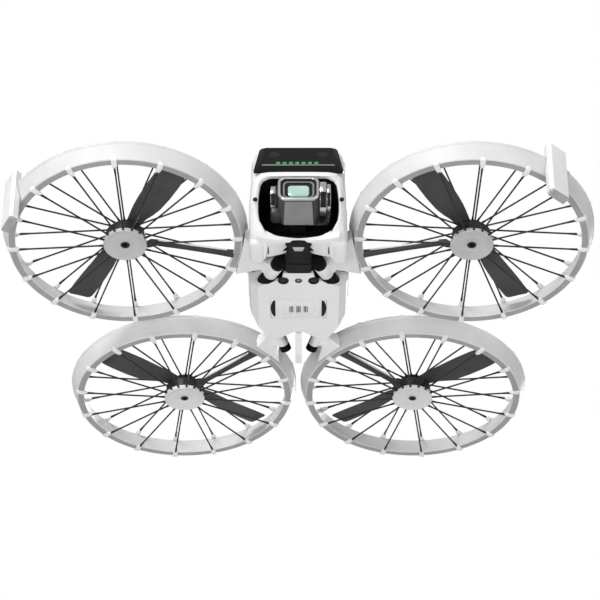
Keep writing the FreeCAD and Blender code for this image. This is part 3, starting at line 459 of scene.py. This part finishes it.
def make_bell(name):
    """The turning cup: a ribbed wall, a rolled lip, and a roof with cooling windows."""
    shape = Shape()
    shape.revolve([(8.4, 1.3), (9.2, 1.3), (9.4, 1.5), (9.4, 2.3), (9.12, 2.5), (9.12, 5.4),
                   (9.4, 5.6), (9.4, 6.1), (9.1, 6.5), (8.7, 6.6), (8.4, 6.4)], 72)
    for k in range(24):
        angle = math.radians(15 * k)
        shape.box(polar(9.17, angle, 3.95), (0.42, 0.9, 3.0), 0,
                  Matrix.Rotation(angle, 3, "Z"), 0.12, 1)
    shape.revolve([(1.95, 5.7), (4.6, 5.7), (4.8, 6.6), (1.95, 6.6)], 48)
    for k in range(6):
        angle = math.radians(60 * k + 15)
        shape.box(polar(6.6, angle, 6.1), (4.4, 1.9, 0.85), 0,
                  Matrix.Rotation(angle, 3, "Z"), 0.2, 2)
    shape.done("bell_" + name, ["motor_black"], "rotor_" + name, guard_matrix(name),
               ["motor_bell_" + name], crisp=40)


# the angle at which each pair's blades rest, in degrees, and the blade's section and stations:
# radius, chord, pitch in degrees, height
REST = {"front": 238.8, "rear": -39.0}
AIRFOIL = ((0.0, 0.0), (0.02, 0.30), (0.08, 0.52), (0.2, 0.72), (0.4, 0.80), (0.62, 0.66),
           (0.82, 0.42), (0.96, 0.20), (1.0, 0.05), (1.0, -0.05), (0.96, -0.10),
           (0.82, -0.02), (0.62, 0.02), (0.4, -0.02), (0.2, -0.10), (0.08, -0.18),
           (0.02, -0.14))
BLADE = ((4.9, 6.0, 8, 7.75), (8, 6.6, 9, 7.8), (11, 7.8, 10, 7.75), (14, 9.0, 10, 7.7),
         (18, 10.6, 12, 7.1), (24, 12.2, 14, 6.4), (32, 13.2, 13.5, 6.3), (40, 13.4, 12, 6.3),
         (45, 13.1, 11, 6.3), (47.6, 12.5, 10, 6.3), (48.6, 11.4, 10, 6.3), (49, 9.6, 10, 6.3))


def make_propeller(name):
    """Two cambered blades whose edges follow a smooth plan, on a screwed hub."""
    end = name.split("_")[0]
    side = 1 if name.endswith("right") else -1
    hand = side if end == "front" else -side
    angle = REST[end] if side > 0 else 180 - REST[end]
    shape = Shape()
    shape.revolve([(1.95, 6.65), (5.3, 6.65), (5.6, 6.9), (5.6, 8.2), (5.3, 8.55), (4.6, 8.6),
                   (4.4, 8.35), (2.9, 8.35), (2.7, 8.6), (1.95, 8.6)], 56)
    for half in (0, 180):
        turn = Matrix.Rotation(math.radians(half), 3, "Z")
        loops = []
        for radius, chord, pitch, height in BLADE:
            tilt = Matrix.Rotation(math.radians(hand * pitch), 3, "X")
            thick = 1.05 if radius < 20 else 0.95 - 0.35 * (radius - 20) / 29
            loops.append([turn @ (Vector((radius, 0, height)) + tilt @ Vector(
                (0, hand * (0.5 - u) * chord, v * thick))) for u, v in AIRFOIL])
        shape.skin(loops)
        shape.disc(turn @ Vector((3.6, 0, 0)), 0.75, 8.3, 8.62, 1, 16, 0.1)
    spin = guard_matrix(name) @ Matrix.Rotation(math.radians(angle), 4, "Z")
    shape.done("blades_" + name, ["blade_plastic", "steel"], "rotor_" + name, spin,
               ["propeller_" + name], crisp=45)


ARM_ANGLE = {"front": 169.0, "rear": 224.0}


def arm_angle(name):
    """The direction of the wiring arm from the hub to the hoop."""
    angle = ARM_ANGLE[name.split("_")[0]]
    return math.radians(angle if name.endswith("right") else 180 - angle)


def make_motor_arm(name):
    """The tapered strut that carries the motor's leads, dark with a pale cover strip."""
    shape = Shape()
    turn = Matrix.Rotation(arm_angle(name), 3, "Z")
    loops = []
    for r, half, low, high in ((9.9, 1.6, 0.1, 2.2), (12, 1.5, 0.5, 4.2), (15, 1.4, 2.0, 4.4),
                               (30, 1.4, 1.4, 3.6), (44, 1.6, 0.6, 2.8), (49, 1.8, 0.2, 2.7),
                               (51.9, 2.0, 0.0, 2.6)):
        loops.append([turn @ Vector((r, y, z)) for y, z in (
            (-half * 0.7, low), (half * 0.7, low), (half, low + 0.5), (half, high - 0.4),
            (half * 0.75, high), (-half * 0.75, high), (-half, high - 0.4),
            (-half, low + 0.5))])
    shape.skin(loops)
    edge = 1 if name.endswith("right") else -1
    loops = []
    for r, half, top in ((15.5, 1.35, 4.1), (30, 1.35, 3.3), (48.5, 1.75, 2.4)):
        loops.append([turn @ Vector((r, edge * (half + y), z)) for y, z in (
            (-0.5, top - 1.0), (0.12, top - 1.0), (0.12, top), (-0.5, top))])
    shape.skin(loops, 1)
    shape.done("arm_" + name, ["arm_dark", "hub_plastic_pale"], "guard_" + name,
               guard_matrix(name), ["motor_arm_" + name], crisp=30)


for guard_name in GUARD_NAMES:
    make_ring(guard_name)
    make_clips(guard_name)
    make_strings(guard_name)
    make_hub(guard_name)
    make_stator(guard_name)
    make_bell(guard_name)
    make_propeller(guard_name)
    make_motor_arm(guard_name)
    dress("hinge_arm_" + guard_name, "clip_plastic", ease=0.35)


# ---------------------------------------------------------------- fuselage

BODY = Matrix.Translation(DATUM)


def both(points):
    """A closed loop from points on the right-hand side, mirrored to the left."""
    return [Vector(p) for p in points] + [Vector((-p[0], *p[1:])) for p in reversed(points)]


JOINT_Y = -43.9                         # where the nose meets the back shell
BACK_WALL = -46.1                       # the rear of the camera recess
# station z: front y, half width at the joint, half width of the flank, half width of the front
FOREHEAD = ((15.9, -68.6, 22.9, 22.3, 17.4), (18.0, -69.0, 22.9, 22.4, 17.3),
            (26.0, -66.8, 22.9, 22.4, 16.7), (34.0, -64.6, 22.9, 22.0, 16.1),
            (39.5, -62.6, 22.9, 21.5, 15.6), (42.0, -60.4, 22.8, 21.0, 15.0),
            (44.0, -57.4, 22.4, 20.2, 14.2), (45.6, -53.6, 21.6, 19.0, 13.0),
            (46.9, -49.4, 20.2, 17.6, 11.8), (47.7, -46.2, 17.6, 15.4, 10.8))

# station z: front y, flank half width, recess half width
CHEEK = ((-14.2, -55.5, 20.4, 14.6), (-13.4, -57.6, 21.6, 14.2), (-11.6, -60.0, 22.5, 14.6),
         (-9.0, -62.2, 22.9, 16.4), (-6.0, -63.3, 23.0, 18.0), (-2.0, -64.6, 23.0, 18.6),
         (3.0, -66.0, 23.0, 18.6), (8.0, -67.3, 22.9, 18.2), (12.0, -68.0, 22.7, 17.6),
         (14.2, -68.4, 22.5, 16.4), (15.6, -68.6, 22.35, 14.0), (16.4, -68.7, 22.3, 10.5))


def make_nose():
    """Forehead, cheeks and chin as one skin round the camera recess."""
    shape = Shape()
    loops = []
    for z, front, joint, flank, face in FOREHEAD:
        deep = front < -52
        loops.append(both([
            (joint, JOINT_Y, z), (joint, -48.0 if deep else (front + JOINT_Y) / 2 - 0.2, z),
            (flank, min(front + 9.0, (front + JOINT_Y) / 2), z),
            (flank - 0.5, front + 5.4, z) if deep else (flank - 0.3, front + 1.4, z),
            (flank - 2.2, front + 2.6, z) if deep else (flank - 1.2, front + 0.9, z),
            (face + 0.5, front + 0.7, z), (face * 0.8, front + 0.12, z),
            (face * 0.4, front, z)]))
    shape.skin(loops)
    for hand in (1, -1):
        loops = []
        for z, front, flank, inner in CHEEK:
            lip = min(inner + 1.3, flank - 2.8)
            loops.append([Vector((hand * x, y, z)) for x, y in (
                (flank, JOINT_Y), (flank, -50), (flank, front + 9), (flank - 0.4, front + 5.2),
                (flank - 1.5, front + 2.6), (flank - 2.8, front + 1.2), (lip, front + 0.5),
                (inner + 0.4, front + 1.1), (inner, front + 2.6), (inner, -52),
                (inner + 0.4, -47), (inner + 1.0, -43.9))])
        shape.skin(loops)
    # chin: a shell that dips towards its centre
    loops = []
    for k in range(25):
        x = -19.0 + 38.0 * k / 24
        t = abs(x) / 19.0
        front = -55.4 - 4.6 * t ** 1.6
        top = -11.4 + 3.4 * max(0.0, t - 0.55) / 0.45
        low = -12.6 - 1.7 * math.sin(min(1.0, t * 1.25) * math.pi / 2) ** 2
        loops.append([Vector((x, y, z)) for y, z in (
            (front, top), (front - 0.35, top - 0.5), (front + 0.4, low + 0.35),
            (front + 1.6, low), (front + 5, low + 1.6 - 1.2 * t), (-46.6, low + 3.0 - 2.3 * t),
            (JOINT_Y, low + 3.4 - 2.6 * t), (JOINT_Y, -8.6), (-50, -9.2), (front + 2, top + 0.1))])
    shape.skin(loops)
    for hand in (1, -1):
        # rounded covers ahead of the two front fold hinges
        loops = []
        for z, grow, reach in ((-8.4, 0.0, 0.0), (-12.2, 0.0, 0.0), (-13.9, -0.35, 0.0),
                               (-14.7, -1.1, 0.0), (-15.0, -2.2, 0.0)):
            loop = []
            for k in range(32):
                a = 2 * math.pi * k / 32
                middle = -43.6 if math.sin(a) > 0 else -52.5
                loop.append(Vector((hand * (19.3 + (3.7 + grow) * math.cos(a)),
                                    middle + (3.7 + grow) * math.sin(a), z)))
            loops.append(loop)
        shape.skin(loops)
        # socket heads beside the recess
        shape.tube([(hand * 20.2, -66.75, 3.0), (hand * 20.2, -66.0, 3.0)], (1.05, 1.05), 20, 1)
    shape.done("nose", ["shell_plastic", "dark_plastic"], "fuselage", BODY, ["nose_shell"],
               crisp=38)

    lining = Shape()
    lining.prism([(18.6, -43.95), (18.6, BACK_WALL), (-18.6, BACK_WALL), (-18.6, -43.95)],
                 -9.5, 16.4, 0)
    lining.prism([(-17.5, -66.8), (17.5, -66.8), (17.5, -46.4), (-17.5, -46.4)], 15.4, 16.2, 0)
    for hand in (1, -1):
        loops = []
        for z, front, flank, inner in CHEEK[1:]:
            loops.append([Vector((hand * x, y, z)) for x, y in (
                (inner - 0.3, front + 2.2), (inner + 0.15, front + 1.9), (inner + 0.15, -46.4),
                (inner - 0.3, -46.4))])
        lining.skin(loops)
    lining.prism([(-16.0, -55.8), (16.0, -55.8), (16.5, -46.4), (-16.5, -46.4)], -11.3, -10.4, 0)
    for k in range(6):
        for hand in (1, -1):
            lining.box((hand * 11.8, -46.4, -6.5 + 3.6 * k), (9.6, 0.9, 1.0), 0, round_by=0.2)
    lining.done("recess_lining", ["cavity_black"], "fuselage", BODY, (), crisp=38)

    neck = Shape()
    loops = []
    for y, half, low, high in ((-55.0, 6.6, -12.4, -11.2), (-54.2, 7.4, -12.8, -11.0),
                               (-52.6, 6.3, -13.2, -10.8), (-49.5, 5.0, -13.4, -10.6),
                               (-45.5, 5.4, -13.5, -10.2), (-43.6, 6.4, -13.4, -10.0),
                               (-41.0, 6.6, -13.2, -9.6), (-31.6, 5.9, -12.4, -9.4)):
        loops.append(both([(half * 0.35, y, low - 0.1), (half * 0.8, y, low),
                           (half, y, low + 0.6), (half, y, high)]))
    neck.skin(loops)
    neck.prism([(-2.9, -51.6), (2.9, -51.6), (1.9, -48.8), (-1.9, -48.8)], -13.9, -13.1, 1,
               round_by=0.3)
    for row in range(2):
        neck.box((0, -43.2 + 4.4 * row, -13.45), (10.8, 0.5, 0.4), 0, round_by=0.12)
    neck.done("neck", ["dark_plastic", "silver_ring"], "fuselage", BODY, (), crisp=35)


def make_window():
    """A dark visor: a broad upper facet, a grey lip under the marks, and canted edges."""
    shape = Shape()
    lean = Matrix.Rotation(-math.atan2(6.5, 23), 3, "X")
    base = Vector((0, -68.95, 17.2))

    def place(x, depth, z):
        return base + lean @ Vector((x, -depth, z))

    outline = [(20.9, 0.9), (21.2, 2.2), (18.7, 20.9), (17.6, 22.4), (16.2, 22.9)]
    inset = [(17.6, 5.9), (17.5, 6.3), (16.6, 20.6), (16.2, 21.5), (15.4, 21.9)]
    outer = outline + [(-x, z) for x, z in reversed(outline)]
    inner = inset + [(-x, z) for x, z in reversed(inset)]
    shape.skin([[place(x, -0.6, z) for x, z in outer], [place(x, 0.25, z) for x, z in outer],
                [place(x * 0.995, 0.5, z) for x, z in outer],
                [place(x, 1.25, z) for x, z in inner]])
    shape.prism([(-17.4, 0), (17.4, 0), (16.9, 0.9), (-16.9, 0.9)], 0, 1.15, 1,
                lean @ Matrix(((1, 0, 0), (0, 0, -1), (0, 1, 0))), place(0, 0.2, 5.35),
                round_by=0.2)
    for hand in (1, -1):
        shape.disc(place(hand * 11.5, 1.15, 15.5), 2.6, 0.0, 0.12, 2, 40, 0.05,
                   lean @ Matrix.Rotation(math.pi / 2, 3, "X"))
    shape.done("visor", ["window_gloss", "camera_grey", "sensor_glass"], "fuselage", BODY,
               ["sensor_window"], crisp=12)


def make_camera():
    """The gimbal camera: a rounded block with a stepped square lens hood and side motors."""
    pitch = Vector((0, -64.5, 5.0))
    place = BODY @ Matrix.Translation(pitch)
    upright = Matrix(((1, 0, 0), (0, 0, -1), (0, 1, 0)))

    def rounded(half_x, half_z, corner, count=6):
        points = []
        for cx, cz, start in ((1, -1, -90), (1, 1, 0), (-1, 1, 90), (-1, -1, 180)):
            for k in range(count + 1):
                a = math.radians(start + 90 * k / count)
                points.append((cx * (half_x - corner) + corner * math.cos(a),
                               cz * (half_z - corner) + corner * math.sin(a)))
        return points

    def frame_loop(half_x, half_z, corner, depth, lift=0.0):
        return [Vector((x, depth, z + lift)) for x, z in rounded(half_x, half_z, corner)]

    def block_loop(half, top, low, corner, depth):
        """A rounded section whose underside hangs lower than its top is high."""
        tall, middle = (top - low) / 2, (top + low) / 2
        return frame_loop(half, tall, corner, depth, middle)

    body = Shape()
    body.skin([block_loop(5.6, 3.5, -8.4, 2.0, 8.2), block_loop(7.6, 5.2, -10.2, 2.6, 7.3),
               block_loop(8.9, 6.4, -11.0, 2.6, 5.6), block_loop(9.4, 6.9, -10.2, 2.6, 1.3),
               block_loop(9.6, 7.0, -8.3, 2.4, -3.0), block_loop(9.5, 7.0, -7.1, 2.6, -6.2),
               block_loop(9.6, 7.0, -7.0, 3.2, -6.5), block_loop(9.2, 6.6, -6.6, 2.9, -6.5),
               block_loop(9.0, 6.4, -6.4, 2.8, -5.0)])
    loops = []
    for y, low in ((-6.0, -7.05), (-3.0, -8.4), (1.3, -10.2), (5.6, -11.0)):
        half = 6.6 + 0.06 * (y + 6)
        loops.append([Vector((x, y, z)) for x, z in (
            (-half, low + 0.5), (-half + 0.4, low - 0.22), (half - 0.4, low - 0.22),
            (half, low + 0.5))])
    body.skin(loops, 1)
    body.box((8.9, 3.4, -5.6), (1.6, 7.5, 5.6), 0, round_by=0.6)
    body.box((-10.4, 3.0, -6.2), (5.2, 8.0, 7.0), 0, round_by=1.4)
    body.done("camera_block", ["camera_dark", "camera_grey"], "camera", place,
              ["camera_body"], crisp=40)

    hood = Shape()
    hood.skin([frame_loop(9.6, 7.0, 3.2, -6.5), frame_loop(9.6, 7.0, 3.2, -7.5),
               frame_loop(9.3, 6.7, 3.0, -7.85), frame_loop(8.5, 6.0, 2.6, -7.85),
               frame_loop(8.3, 5.8, 2.5, -7.6)], 0, caps=False)
    hood.skin([frame_loop(8.3, 5.8, 2.5, -7.6), frame_loop(8.1, 5.6, 2.4, -6.9),
               frame_loop(7.3, 5.0, 2.2, -6.8)], 1, caps=False)
    hood.skin([frame_loop(7.3, 5.0, 2.2, -6.8), frame_loop(7.1, 4.9, 2.1, -6.4),
               frame_loop(6.5, 4.5, 1.9, -6.35)], 2, caps=False)
    hood.skin([frame_loop(6.5, 4.5, 1.9, -6.35), frame_loop(6.3, 4.3, 1.8, -5.9),
               frame_loop(5.9, 4.0, 1.7, -5.85)], 1, caps=False)
    hood.skin([frame_loop(5.9, 4.0, 1.7, -5.85), frame_loop(5.7, 3.9, 1.6, -5.5)], 1)
    hood.done("lens_hood", ["silver_ring", "dark_plastic", "camera_grey"], "camera", place,
              ["lens_bezel"], crisp=30)

    glass = Shape()
    loops = []
    for scale, depth in ((1.0, -5.45), (1.0, -6.0), (0.94, -6.2), (0.75, -6.32), (0.4, -6.4),
                         (0.12, -6.42)):
        loops.append([Vector((x * scale, depth, z * scale - 0.5)) for x, z in
                      rounded(4.9, 3.4, 1.6)])
    glass.skin(loops)
    glass.done("lens", ["lens_coating"], "camera", place, ["lens_glass"], crisp=40)

    side = Matrix(((0, 0, 1), (1, 0, 0), (0, 1, 0)))

    def painted_shade_band(shape, radius, start, end, paint):
        """Painted shade: a dark band let into the rim of a motor, on its front lower side."""
        loops = []
        for x, lift in ((start, -0.3), (start, 0.02), (start + 0.2, 0.08), (end - 0.2, 0.08),
                        (end, 0.02), (end, -0.3)):
            arc = [math.radians(198 + 54 * k / 10) for k in range(11)]
            rim = [(a, radius + lift) for a in arc] + [(a, radius - 0.5) for a in reversed(arc)]
            loops.append([Vector((x, r * math.cos(a), r * math.sin(a))) for a, r in rim])
        shape.skin(loops, paint)

    motor = Shape()
    for low, high, radius, paint in ((9.2, 9.9, 7.0, 0), (9.9, 13.0, 8.0, 1)):
        motor.disc((0, 0, 0), radius, low, high, paint, 64, 0.25, side)
    # painted shade: dark bands on the front lower side of both silver motor rims
    painted_shade_band(motor, 8.0, 10.1, 12.8, 0)
    motor.disc((0, 0, 0), 6.4, -10.6, -9.4, 0, 48, 0.3, side)
    motor.disc((0, 0, 0), 6.0, -13.0, -10.6, 1, 48, 0.3, side)
    painted_shade_band(motor, 6.0, -12.8, -10.8, 0)
    motor.disc((0, 0, 0), 3.4, -13.3, -12.9, 0, 40, 0.1, side)
    motor.done("pitch_motor", ["dark_plastic", "silver_ring"], "camera", place, (),
               crisp=40)

    arm = Shape()
    arm.disc((0, 0, 0), 7.0, 13.3, 15.0, 1, 64, 0.3, side)
    # painted shade: a dark band on the front lower side of the end disc's silver rim
    painted_shade_band(arm, 7.0, 13.5, 14.8, 0)
    arm.disc((0, 0, 0), 5.0, 14.9, 15.3, 0, 48, 0.2, side)
    loops = []
    for y, half, inner, outer in ((0.0, 4.6, 13.4, 15.2), (7.0, 4.9, 13.3, 15.2),
                                  (10.5, 5.0, 12.6, 15.1), (12.6, 5.0, 10.4, 14.4),
                                  (13.2, 5.0, 8.6, 12.6)):
        loops.append([Vector((x, y, z)) for x, z in (
            (inner, -half + 0.5), (inner + 0.4, -half), (outer - 0.6, -half),
            (outer, -half + 0.7), (outer, half - 0.7), (outer - 0.6, half),
            (inner + 0.4, half), (inner, half - 0.5))])
    arm.skin(loops, 1)
    arm.prism([(-5.0, -5.0), (12.8, -5.0), (12.8, 5.0), (-5.0, 5.0)], -13.4, -12.05, 1,
              upright, (0, 0, 0), 0.35)
    arm.done("roll_arm", ["dark_plastic", "silver_ring"], "gimbal_roll", place,
             ["gimbal_roll_arm"], crisp=40)


BELLY_LOW = -12.0
EYES_Y = -25.5


def make_belly_details():
    """Ribbed light vent with dark end slots, and the lenses in their wells."""
    low = BELLY_LOW
    vent = Shape()
    vent.prism([(-13.4, -11.3), (13.4, -11.3), (13.4, 2.3), (-13.4, 2.3)], low + 0.55,
               low + 1.0, 1)
    for hand in (1, -1):
        vent.prism([(hand * 11.2, -10.9), (hand * 12.4, -10.3), (hand * 13.3, -7.4),
                    (hand * 13.5, -4.4), (hand * 13.1, -1.4), (hand * 12.2, 0.8),
                    (hand * 11.2, 1.3)], low - 0.02, low + 0.6, 1, round_by=0.1)
    vent.box((0, -4.6, low + 0.55), (27.0, 13.6, 0.75), 0, round_by=0.2)
    for k in range(8):
        x = -9.8 + 2.8 * k
        vent.box((x, -4.6, low + 0.28), (0.9, 12.4, 0.6), 0, round_by=0.28)
    vent.box((0, 1.95, low + 0.4), (22.6, 0.7, 0.8), 0, round_by=0.2)
    vent.box((0, -11.1, low + 0.4), (22.6, 0.5, 0.8), 0, round_by=0.15)
    for group in range(3):
        for row in range(3):
            vent.box((-3.5 + 3.5 * group + (row - 1) * 0.74, -4.2, low + 0.2),
                     (0.34, 4.4, 0.66), 1, round_by=0.1)
    vent.done("vent", ["shell_plastic", "dark_plastic"], "fuselage", BODY, ["vent_grille"],
              crisp=40)

    eyes = Shape()
    for x, radius in ((-7.2, 2.6), (7.2, 2.6), (0.0, 1.65)):
        eyes.revolve([(radius, low + 0.75), (radius, low + 0.05), (radius - 0.35, low - 0.05),
                      (radius - 0.6, low + 0.1), (radius - 0.65, low + 0.75)], 40, 1,
                     (x, EYES_Y, 0))
        loops = []
        for share, z in ((0.74, 0.7), (0.72, 0.32), (0.6, 0.16), (0.36, 0.06), (0.1, 0.03)):
            loops.append([polar(radius * share, 2 * math.pi * k / 36, low + z)
                          + Vector((x, EYES_Y, 0)) for k in range(36)])
        eyes.skin(loops, 0 if radius > 2 else 2)
    eyes.done("belly_eyes", ["sensor_glass", "dark_plastic", "camera_grey"], "fuselage", BODY,
              ["vision_lenses", "range_sensor"], crisp=40)


GRIP_START, GRIP_PITCH = 30.0, 2.4
SLOPE_START, SLOPE_LONG, SLOPE_DROP = 26.0, 26.0, 5.0   # how the battery's back falls away


def make_top_details():
    """Trim on the back: charge lights, the battery's grip ribs and the button's ring."""
    trim = Shape()
    for k in range(4):
        trim.disc((-6.0 + 4.0 * k, -5.0, 50.0), 0.55, -0.2, 0.12, 1, 20, 0.08)
    for k in range(7):
        along = GRIP_START + GRIP_PITCH * k
        height = 50.05 - (along - SLOPE_START) * SLOPE_DROP / SLOPE_LONG
        trim.box((0, along, height), (18, 0.9, 0.5), 0, round_by=0.2)
    trim.done("battery_trim", ["battery_plastic", "status_mark"], "battery", BODY, (),
              crisp=35)
    ring = Shape()
    ring.revolve([(4.45, 49.7), (5.3, 49.7), (5.3, 50.1), (5.1, 50.25), (4.65, 50.25),
                  (4.45, 50.1)], 56, 0, (0, -26, 0))
    ring.done("button_ring", ["dark_plastic"], "fuselage", BODY, (), crisp=35)


make_nose()
make_window()
make_camera()
make_belly_details()
make_top_details()

for part in ("landing_leg_right", "landing_leg_left"):
    dress(part, "clip_plastic", ease=0.6)
for part in ("foot_pad_right", "foot_pad_left"):
    dress(part, "foot_rubber", ease=0.2)
for part in ("upper_shell", "belly_cover"):
    dress(part, "shell_plastic", ease=0.35)
for part, paint, ease in (
        ("chassis", "cavity_black", 0.3), ("hinge_pins", "steel", 0.15),
        ("tail_skid", "shell_plastic", 0.3),
        ("indicator_marks", "status_mark", 0.0),
        ("belly_screws", "shell_plastic", 0.1), ("battery_pack", "battery_plastic", 0.35),
        ("battery_latch_right", "dark_plastic", 0.3), ("battery_latch_left", "dark_plastic", 0.3),
        ("power_button", "shell_plastic", 0.3), ("port_cover", "shell_plastic", 0.25),
        ("gimbal_bracket", "dark_plastic", 0.3), ("gimbal_yaw_arm", "dark_plastic", 0.3)):
    dress(part, paint, ease=ease)

studio()
